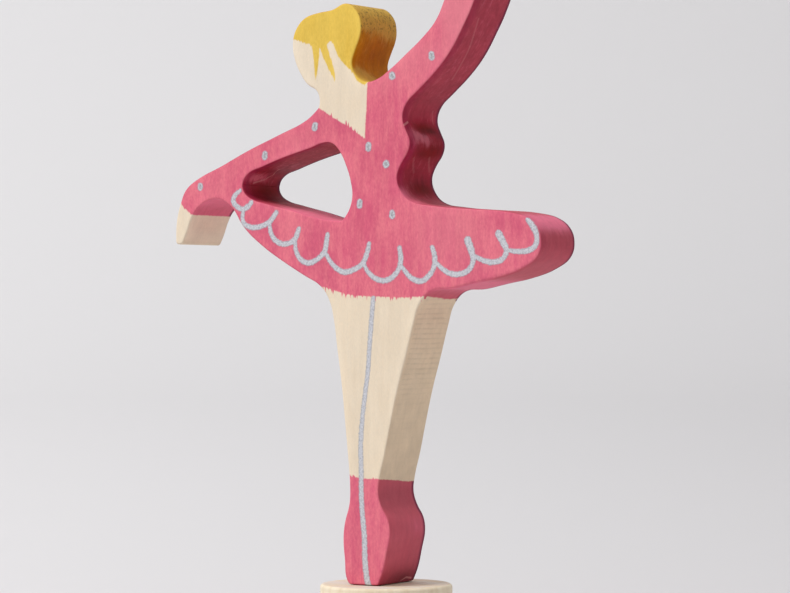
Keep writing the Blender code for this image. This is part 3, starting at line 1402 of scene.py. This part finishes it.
@dataclass
class Dancer:
    """The sawn figure: two flat faces, walls square to them, and lightly sanded rims."""

    node: str = "ballerina_figure"
    slot: str = "stained_wood"
    rim: float = 0.27
    rim_change: float = 0.12
    softer_rim: tuple[float, float] = (15.0, 44.0)
    softer_reach: tuple[float, float] = (12.0, 4.0)
    clear_of_rim: float = 1.3
    ring_slack: float = 0.97
    ring_shares: tuple[float, ...] = (0.12, 0.3, 0.55, 0.8, 1.05)
    coarse: float = 0.50
    fine: float = 0.15
    fine_reach: float = 0.55
    mark_spacing: float = 0.3
    weld: float = 1e-5
    slope_step: float = 0.05
    wall_rows: int = 11
    wall_feather: float = 0.14
    seat_gap: float = 0.08
    seat_blend: float = 1.0

    def __post_init__(self) -> None:
        """Reads the board's size and its saw cuts from the frame."""
        low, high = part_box(self.node)
        self.half_thickness = (high.y - low.y) / MM / 2
        self.middle = (high.y + low.y) / MM / 2
        self.sole = low.z / MM
        self.cuts = SawCuts(self.node)
        self.cuts.read(self.sole)

    def rim_radius(self, points: Line) -> np.ndarray:
        """Tells how round the hand-sanded rim is.

        Args:
            points: Where it is asked.

        Returns:
            The radius at each point.
        """
        across, up = points.T
        change = np.sin(across * 0.31 + up * 0.17) + np.sin(up * 0.43 - across * 0.12 + 1.7)
        away = ((points - self.softer_rim) / self.softer_reach) ** 2
        softer = np.exp(-away.sum(1))
        return self.rim * (1 + self.rim_change * change + softer)

    def grid(self, spacing: float) -> Line:
        """Lays a triangular grid over the whole board.

        Args:
            spacing: The distance between its points.

        Returns:
            Its points.
        """
        low = self.cuts.loops[0].min(0)
        high = self.cuts.loops[0].max(0)
        rise = spacing * math.sqrt(3) / 2
        rows = np.arange(low[1], high[1], rise)
        columns = np.arange(low[0], high[0], spacing)
        across, up = np.meshgrid(columns, rows)
        across = across + (np.arange(len(rows)) % 2)[:, None] * spacing / 2
        return np.column_stack([across.ravel(), up.ravel()])

    def clear_of_rims(self, points: Line) -> Line:
        """Keeps the points that lie clear of the rims."""
        return points[self.cuts.depth(points) > self.rim * self.clear_of_rim]

    def face_points(self) -> Line:
        """Sets out the points of a face.

        Returns:
            The points of the saw cuts first, then rings inside them and two grids.
        """
        rings = []
        for loop in self.cuts.loops:
            for share in self.ring_shares:
                inset = share * self.rim
                ring = loop + self.cuts.inward(loop) * inset
                rings.append(ring[self.cuts.depth(ring) > inset * self.ring_slack])
        lines = [line for face in Face for line in Paintwork(face).fine_lines()]
        marks = np.vstack([evenly(line, self.mark_spacing) for line in lines])
        coarse, fine = self.grid(self.coarse), self.grid(self.fine)
        coarse = coarse[self.reach(coarse, marks) >= self.fine_reach]
        fine = fine[self.reach(fine, marks) < self.fine_reach]
        inner = self.clear_of_rims(np.vstack([coarse, fine]))
        return np.vstack([*self.cuts.loops, *rings, inner])

    def reach(self, points: Line, marks: Line) -> np.ndarray:
        """Measures how far points are from the nearest of some marks."""
        return np.hypot(*(points - marks[nearest_numbers(marks, points)]).T)

    def triangles(self, points: Line) -> tuple[Line, np.ndarray, np.ndarray]:
        """Joins a face's points into triangles.

        Args:
            points: The points, the saw cuts first.

        Returns:
            The joined points, the triangles, and the number that each saw-cut point was given.
        """
        edges = []
        first = 0
        for loop in self.cuts.loops:
            count = len(loop)
            edges += [(first + i, first + (i + 1) % count) for i in range(count)]
            first += count
        joined, _, faces, sources, _, _ = delaunay_2d_cdt(
            [Vector(point) for point in points], edges, [], 1, self.weld
        )
        flat = np.array([tuple(point) for point in joined])
        corners = np.array(faces)
        middles = flat[corners].mean(1)
        open_air = np.zeros(len(faces), bool)
        for opening in self.cuts.loops[1:]:
            open_air |= is_inside(opening, middles)
        used, corners = np.unique(corners[~open_air], return_inverse=True)
        renumbered = {old: new for new, old in enumerate(used)}
        numbers = np.full(first, -1)
        for old, given in enumerate(sources):
            for source in given:
                if source < first:
                    numbers[source] = renumbered[old]
        return flat[used], corners.reshape(-1, 3), numbers

    def seated(self, up: np.ndarray) -> np.ndarray:
        """Lets the sole down through the CAD's seat gap, so that it stands on the disc."""
        return up - self.seat_gap * (1 - smooth_step(up, 0.0, self.seat_blend))

    def build(self) -> bpy.types.Object:
        """Makes the board's mesh and its fields.

        Returns:
            The piece.
        """
        flat, faces, cut_numbers = self.triangles(self.face_points())
        depth = self.cuts.depth(flat)
        radius = self.rim_radius(flat)
        inset = np.clip(radius - depth, 0, radius)
        drop = radius - np.sqrt(radius**2 - inset**2)
        level = self.half_thickness - drop
        count = len(flat)
        rows = np.linspace(-1, 1, self.wall_rows + 2)[1:-1]
        cut = flat[cut_numbers]
        walls = [np.column_stack([cut, level[cut_numbers] * row]) for row in rows]
        plan = np.vstack([flat, flat, *[wall[:, :2] for wall in walls]])
        across_board = np.concatenate([-level, level, *[wall[:, 2] for wall in walls]])
        points = np.column_stack([
            plan[:, 0], across_board + self.middle, self.seated(plan[:, 1]) + self.sole,
        ]) * MM
        skins = [*faces.tolist(), *(faces[:, ::-1] + count).tolist()]
        skins += self.wall_faces(cut_numbers, count)
        piece = new_piece("dancer_board", points, skins)
        self.write_fields(piece, flat, depth, radius, cut)
        return piece

    def wall_faces(self, cut_numbers: np.ndarray, count: int) -> list[Sequence[int]]:
        """Joins the rows of the walls, from the front rim to the back one.

        Args:
            cut_numbers: The number of each saw-cut point on a face.
            count: How many points a face has.

        Returns:
            The faces, as lists of point numbers.
        """
        total = len(cut_numbers)
        rows = [cut_numbers]
        rows += [2 * count + row * total + np.arange(total) for row in range(self.wall_rows)]
        rows.append(cut_numbers + count)
        faces = []
        first = 0
        for loop in self.cuts.loops:
            here = first + np.arange(len(loop))
            ahead = first + (np.arange(len(loop)) + 1) % len(loop)
            for near, far in zip(rows, rows[1:]):
                faces += np.column_stack([near[ahead], near[here], far[here], far[ahead]]).tolist()
            first += len(loop)
        return faces

    def write_fields(
        self, piece: bpy.types.Object, flat: Line, depth: np.ndarray, radius: np.ndarray, cut: Line
    ) -> None:
        """Stores what the paint and the wood need at each point.

        Args:
            piece: The board.
            flat: The points of one face.
            depth: How far each is from a saw cut.
            radius: The rim's roundness at each.
            cut: The points along the saw cuts.
        """
        zero, one, away = (np.full(len(cut), level) for level in (0.0, 1.0, FAR_AWAY))
        wall = smooth_step(np.clip(1 - depth / radius, 0, 1), 0.5, 0.95)
        wear = smooth_step(depth, 0.1, 0.4) * (1 - smooth_step(depth, 0.6, 1.5))
        self.store(piece, "wall", wall, wall, one)
        self.store(piece, "rim_wear", wear, wear, zero)
        through = 2 * self.half_thickness
        levels = through * np.linspace(0, 1, self.wall_rows + 2)[1:-1]
        for name, tones in TONES.items():
            on_faces = [tones.read(flat, inward) for inward in (0.0, through)]
            on_walls = [tones.read(cut, inward) for inward in levels]
            write_field(piece, name, np.concatenate([*on_faces, *on_walls]))
        front, back = Paintwork(Face.FRONT), Paintwork(Face.BACK)
        for name in ("bare", "hair"):
            sides = ((front, flat), (back, flat), (front, cut))
            read = [self.over_zones(paint.zones()[name], points) for paint, points in sides]
            distances, feathers = zip(*read)
            self.store(piece, name, *distances)
            self.store(piece, name + "_feather", *feathers[:2], feathers[2] * self.wall_feather)
        silver = [self.over_strokes(paint.silver(), flat) for paint in (front, back)]
        self.store(piece, "silver", *silver, away)
        drops = self.over_strokes(drop_strokes(), flat)
        self.store(piece, "drop", drops, drops, away)

    def store(
        self,
        piece: bpy.types.Object,
        name: str,
        front: np.ndarray,
        back: np.ndarray,
        wall: np.ndarray,
    ) -> None:
        """Stores a field that is the same all across the walls.

        Args:
            piece: The board.
            name: The field's name.
            front: Its values on the front face.
            back: Its values on the back face.
            wall: Its values along the saw cuts.
        """
        write_field(piece, name, np.concatenate([front, back, *[wall] * self.wall_rows]))

    def over_zones(self, zones: list[Zone], points: Line) -> tuple[np.ndarray, np.ndarray]:
        """Measures how far points are from the nearest of some zones, and how ragged it is there.

        Args:
            zones: The zones.
            points: The points to measure from.

        Returns:
            The distances, and how far the stain creeps: most where the edge runs across the grain.
        """
        here = np.min([zone.distances(points) for zone in zones], axis=0)
        lifted = np.array([zone.distances(points + [0, self.slope_step]) for zone in zones])
        ragged = np.array([zone.ragged for zone in zones])[lifted.argmin(0)]
        slope = np.abs(lifted.min(0) - here) / self.slope_step
        return here, np.clip(slope, 0, 1) * ragged

    def over_strokes(self, strokes: list[Stroke], points: Line) -> np.ndarray:
        """Measures how far points are from the nearest of some strokes."""
        return np.min([stroke.distances(points) for stroke in strokes], axis=0)

    def dress(self, piece: bpy.types.Object) -> None:
        """Gives the board its finish and puts it in the CAD node's place.

        Args:
            piece: The board.
        """
        piece.data.materials.append(PaintedLimewood().make(2 * self.half_thickness, self.sole))
        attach(piece, BODY)
        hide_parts(self.node)


@dataclass
class BaseDisc:
    """The small turned disc under the shoes."""

    node: str = "round_base"
    slot: str = "bare_wood"
    rim: float = 0.5
    lift: float = 0.14
    steps: int = 160
    rim_steps: int = 6
    rings: int = 14
    wall_rows: int = 6
    top_rim_share: float = 0.6
    top_slack: float = 0.1

    def __post_init__(self) -> None:
        """Reads the disc's size from the frame."""
        low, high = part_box(self.node)
        self.radius = (high.x - low.x) / MM / 2
        self.low = low.z / MM
        self.high = high.z / MM + self.lift

    def profile(self) -> Line:
        """Draws half the disc's section.

        Returns:
            Its points, (radius, height), from its top to its underside.
        """
        flat = self.radius - self.rim
        top = [(flat * share, self.high) for share in np.linspace(0, 1, self.rings)[1:-1]]
        arc = np.linspace(math.pi / 2, 0, self.rim_steps + 1)
        upper = [
            (flat + self.rim * math.cos(turn), self.high - self.rim + self.rim * math.sin(turn))
            for turn in arc
        ]
        walls = np.linspace(self.high - self.rim, self.low + self.rim, self.wall_rows)[1:-1]
        lower = [(out, self.high + self.low - up) for out, up in reversed(upper)]
        bottom = [(out, self.low) for out, _ in reversed(top)]
        return np.array([*top, *upper, *[(self.radius, up) for up in walls], *lower, *bottom])

    def build(self) -> bpy.types.Object:
        """Turns the section round the upright axis.

        Returns:
            The piece.
        """
        profile = self.profile()
        turns = np.linspace(0, 2 * math.pi, self.steps, endpoint=False)
        points = [(0.0, 0.0, self.high)]
        for out, up in profile:
            points += [(out * math.cos(turn), out * math.sin(turn), up) for turn in turns]
        points.append((0.0, 0.0, self.low))
        faces = turned_faces(self.steps, len(profile))
        end = len(points) - 1 - self.steps
        around = range(self.steps)
        faces += [(end + step, len(points) - 1, end + (step + 1) % self.steps) for step in around]
        piece = new_piece("base_disc", np.array(points) * MM, faces)
        x, y, up = np.array(points).T
        inside = np.hypot(x, y) <= self.radius - self.rim * self.top_rim_share
        level = (up > self.high - self.top_slack) | (up < self.low + self.top_slack)
        write_field(piece, "top", (inside & level).astype(float))
        return piece

    def dress(self, piece: bpy.types.Object) -> None:
        """Gives the disc its finish and puts it in the CAD node's place.

        Args:
            piece: The disc.
        """
        piece.data.materials.append(TurnedLimewood().make())
        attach(piece, BODY)
        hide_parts(self.node)


# The studio


@dataclass
class Studio:
    """A pale sweep all round, soft lights and the camera."""

    floor_radius: float = 1.5
    bend: float = 2.0
    wall_height: float = 1.0
    steps: int = 128
    bend_steps: int = 24
    floor_rings: tuple[float, ...] = (0.04, 0.08, 0.12, 0.18, 0.26, 0.4, 0.6, 0.9, 1.2)
    backdrop: Colour = from_screen(207, 205, 206)
    white: Colour = (1.0, 1.0, 1.0)
    behind: tuple[float, float] = (-0.512, 0.859)
    glow_behind: float = 0.195
    glow_near: float = 0.02
    glow_around: float = 0.05
    glow_lean: float = 0.05
    glow_edge: tuple[float, float] = (-0.15, 0.05)
    lean_reach: tuple[float, float] = (0.06, 0.12)
    rise_share: float = 0.6
    sky: Colour = (0.98, 0.99, 1.0)
    sky_strength: float = 0.77
    key_power: float = 40.5
    key_size: float = 0.9
    key_place: tuple[float, float, float] = (-1.0, -1.25, 1.95)
    camera_place: tuple[float, float, float] = (0.23641, -0.39413, 0.04671)
    camera_tilt: float = math.radians(0.274)
    camera_turn: float = math.radians(30.799)
    camera_roll: float = math.radians(0.038)
    lens: float = 147.3
    sensor: float = 36.0
    nearest: float = 0.01
    aim: tuple[float, float, float] = (0.0, 0.0, 0.05)

    def build(self) -> None:
        """Sets up the whole studio."""
        self.make_sweep()
        self.make_sky()
        self.make_light("key", self.key_place, self.key_power, self.key_size)
        self.make_camera()

    def profile(self) -> list[Point]:
        """Draws the sweep's section.

        Returns:
            Its points, (radius, height), from near its middle to its top.
        """
        flat = [(out, 0.0) for out in self.floor_rings]
        bend = [
            (self.floor_radius + self.bend * math.sin(turn), self.bend * (1 - math.cos(turn)))
            for turn in np.linspace(0, math.pi / 2, self.bend_steps)
        ]
        return [*flat, *bend, (self.floor_radius + self.bend, self.bend + self.wall_height)]

    def glow(self, points: np.ndarray) -> np.ndarray:
        """Tells how much the sweep glows, which is most behind the dancer.

        Args:
            points: The sweep's points.

        Returns:
            The glow at each point.
        """
        plan = points[:, :2]
        out = np.hypot(*plan.T)
        share = smooth_step(plan @ np.array(self.behind), *self.glow_edge)
        aside = plan @ np.array([self.behind[1], -self.behind[0]])
        least, growth = self.lean_reach
        lean = np.clip(aside / (least + growth * out), -1, 1) * self.glow_lean
        rise = smooth_step(out, 0.0, self.floor_radius + self.bend * self.rise_share)
        behind = self.glow_near + (self.glow_behind - self.glow_near) * rise - lean
        return self.glow_around * rise + (behind - self.glow_around * rise) * share

    def make_sweep(self) -> None:
        """Makes the floor, which curves up into a wall on every side."""
        profile = self.profile()
        around = np.linspace(0, 2 * math.pi, self.steps, endpoint=False)
        points = [(0.0, 0.0, 0.0)]
        for out, up in profile:
            points += [(out * math.cos(turn), out * math.sin(turn), up) for turn in around]
        sweep = new_piece("studio_sweep", points, turned_faces(self.steps, len(profile)))
        write_field(sweep, "glow", self.glow(np.array(points)))
        recipe = Recipe("pale_sweep")
        glow = recipe.brighten(self.white, recipe.field("glow"))
        for name, given in (
            ("Base Color", self.backdrop), ("Roughness", 0.9), ("Specular IOR Level", 0.0),
            ("Emission Color", glow), ("Emission Strength", 1.0),
        ):
            recipe.plug(recipe.shader.inputs[name], given)
        recipe.material.cycles.emission_sampling = "NONE"
        sweep.data.materials.append(recipe.material)

    def make_sky(self) -> None:
        """Lights the studio evenly from above."""
        world = bpy.data.worlds.new("studio_sky")
        world.use_nodes = True
        background = world.node_tree.nodes["Background"]
        background.inputs["Color"].default_value = (*self.sky, 1.0)
        background.inputs["Strength"].default_value = self.sky_strength
        bpy.context.scene.world = world

    def make_light(
        self, name: str, place: tuple[float, float, float], power: float, size: float
    ) -> None:
        """Adds one square soft light that faces the dancer.

        Args:
            name: The light's name.
            place: Where it hangs, in metres.
            power: Its power in watts.
            size: The length of its side, in metres.
        """
        lamp = bpy.data.lights.new(name, "AREA")
        lamp.energy = power
        lamp.size = size
        light = bpy.data.objects.new(name, lamp)
        light.location = place
        way = Vector(self.aim) - Vector(place)
        light.rotation_euler = way.to_track_quat("-Z", "Y").to_euler()
        light.visible_camera = False
        bpy.context.scene.collection.objects.link(light)

    def make_camera(self) -> None:
        """Places the camera where the photograph was taken from."""
        view = bpy.data.cameras.new("camera")
        view.lens = self.lens
        view.sensor_width = self.sensor
        view.clip_start = self.nearest
        camera = bpy.data.objects.new("camera", view)
        camera.location = self.camera_place
        camera.rotation_euler = (math.pi / 2 + self.camera_tilt, self.camera_roll, self.camera_turn)
        bpy.context.scene.collection.objects.link(camera)
        bpy.context.scene.camera = camera
        bpy.context.scene.view_settings.view_transform = "Standard"


def main() -> None:
    """Builds each piece in turn, then the studio."""
    logging.basicConfig(level=logging.INFO, format="%(name)s: %(message)s")
    for maker in (BaseDisc(), Dancer()):
        piece = maker.build()
        maker.dress(piece)
        LOG.info("%s has %d faces", piece.name, len(piece.data.polygons))
    Studio().build()


if __name__ == "__main__":
    main()
